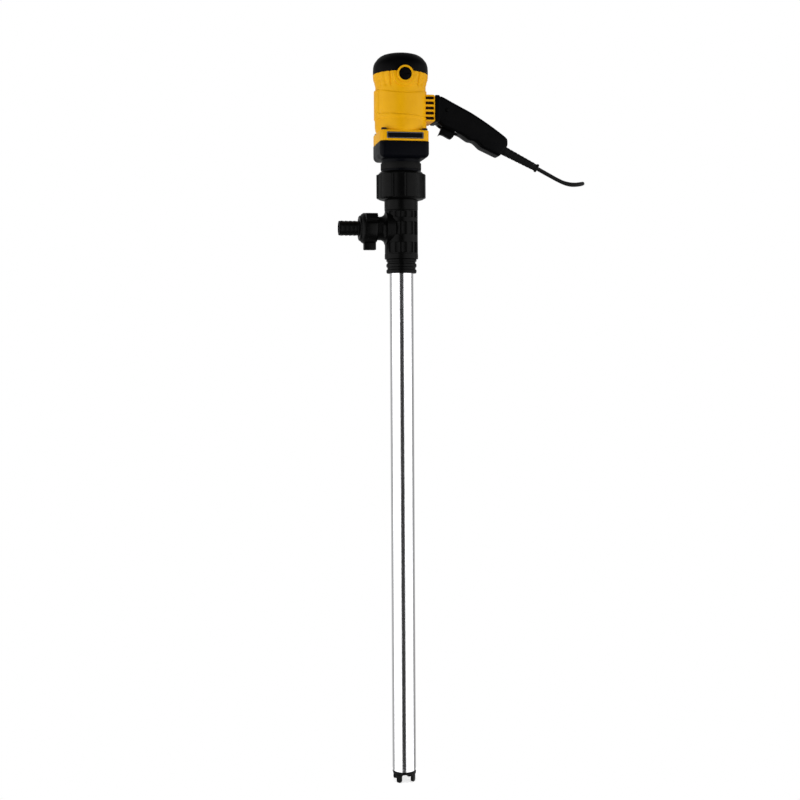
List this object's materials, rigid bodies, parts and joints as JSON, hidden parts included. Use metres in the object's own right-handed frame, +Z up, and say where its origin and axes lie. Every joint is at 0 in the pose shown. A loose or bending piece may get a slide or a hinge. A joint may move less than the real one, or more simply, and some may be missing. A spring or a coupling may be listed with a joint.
{
  "type": "electric drum pump",
  "caption": "Hand-held electric drum pump: motor unit with slanted trigger grip, joined by a union nut to a discharge manifold with hose tail and a long steel dip tube.",
  "frame": {"origin": "on the pump's axis at the bung seat, the underside of the manifold's body", "axes": "+Z up along the dip tube and motor, +X towards the grip, -X towards the outlet, -Y the front with the rating plate"},
  "size_m": [0.4598, 0.1278, 1.2972],
  "materials": {
    "yellow_abs": "satin yellow ABS moulding",
    "black_nylon": "black glass-filled nylon and polypropylene",
    "label_film": "blank black label film",
    "black_rubber": "soft black rubber",
    "cord_pvc": "black cord sheath",
    "stainless_steel": "polished stainless steel",
    "blackened_steel": "blackened steel",
    "lamination_steel": "stacked electrical steel",
    "enamelled_copper": "enamelled copper wire and copper bars",
    "brass": "turned brass",
    "brush_carbon": "pressed carbon and phenolic",
    "ptfe": "white bearing plastic"
  },
  "bodies": {
    "pump": {"brush_cap_front": "black_nylon", "brush_cap_rear": "black_nylon", "brush_holder_front": "brass", "brush_holder_rear": "brass", "brush_spring_front": "stainless_steel", "brush_spring_rear": "stainless_steel", "carbon_brush_front": "brush_carbon", "carbon_brush_rear": "brush_carbon", "cord_boot": "black_rubber", "cord_clamp": "black_nylon", "cord_hank": "cord_pvc", "field_coil_left": "enamelled_copper", "field_coil_right": "enamelled_copper", "foot": "black_nylon", "handle_screw_1": "blackened_steel", "handle_screw_2": "blackened_steel", "handle_screw_3": "blackened_steel", "handle_shell_front": "black_nylon", "handle_shell_rear": "black_nylon", "hank_strap": "black_rubber", "hose_tail": "black_nylon", "inner_tube": "stainless_steel", "lower_bearing": "stainless_steel", "manifold": "black_nylon", "motor_housing": "yellow_abs", "nameplate": "label_film", "nose_housing": "black_nylon", "nose_screw_1": "blackened_steel", "nose_screw_2": "blackened_steel", "nose_screw_3": "blackened_steel", "nose_screw_4": "blackened_steel", "outer_tube": "stainless_steel", "outlet_gasket": "black_rubber", "plug_body": "black_nylon", "plug_pin_1": "brass", "plug_pin_2": "brass", "power_cord": "cord_pvc", "shaft_bush_lower": "ptfe", "shaft_bush_upper": "ptfe", "shaft_seal": "black_rubber", "stator_core": "lamination_steel", "switch_body": "brush_carbon", "top_cap": "black_nylon", "trigger_pin": "stainless_steel", "tube_guide": "black_nylon", "union_gasket": "black_rubber", "upper_bearing": "stainless_steel"},
    "rotor": {"armature_shaft": "stainless_steel", "armature_core": "lamination_steel", "armature_winding": "enamelled_copper", "commutator": "enamelled_copper", "cooling_fan": "black_nylon", "motor_coupling": "blackened_steel"},
    "pump_shaft": {"pump_coupling": "blackened_steel", "drive_shaft": "stainless_steel", "impeller": "black_nylon"},
    "union_nut": {"union_nut": "black_nylon"},
    "outlet_nut": {"outlet_nut": "black_nylon"},
    "trigger": {"trigger": "black_nylon"},
    "lock_button": {"lock_button": "black_nylon"}
  },
  "joints": [
    {"name": "rotor_spin", "type": "hinge", "parent": "pump", "child": "rotor", "pos_m": [0, 0, 0.25], "axis": [0, 0, 1], "continuous": true},
    {"name": "pump_shaft_spin", "type": "hinge", "parent": "pump", "child": "pump_shaft", "pos_m": [0, 0, 0.13], "axis": [0, 0, 1], "continuous": true},
    {"name": "union_nut_turn", "type": "hinge", "parent": "pump", "child": "union_nut", "pos_m": [0, 0, 0.1285], "axis": [0, 0, -1], "range_deg": [0, 540]},
    {"name": "outlet_nut_turn", "type": "hinge", "parent": "pump", "child": "outlet_nut", "pos_m": [-0.058, 0, 0.0543], "axis": [-1, 0, 0], "range_deg": [0, 540]},
    {"name": "trigger_pull", "type": "hinge", "parent": "pump", "child": "trigger", "pos_m": [0.097, 0, 0.226], "axis": [0, 1, 0], "range_deg": [0, 10], "stiffness_Nm_per_rad": 0.6, "springref_deg": -5.73},
    {"name": "lock_press", "type": "slide", "parent": "pump", "child": "lock_button", "axis": [0, 1, 0], "range_m": [0, 0.003], "stiffness_N_per_m": 300, "springref_m": -0.003}
  ],
  "couplings": [
    {"joint": "pump_shaft_spin", "follows": "rotor_spin", "ratio": 1}
  ]
}
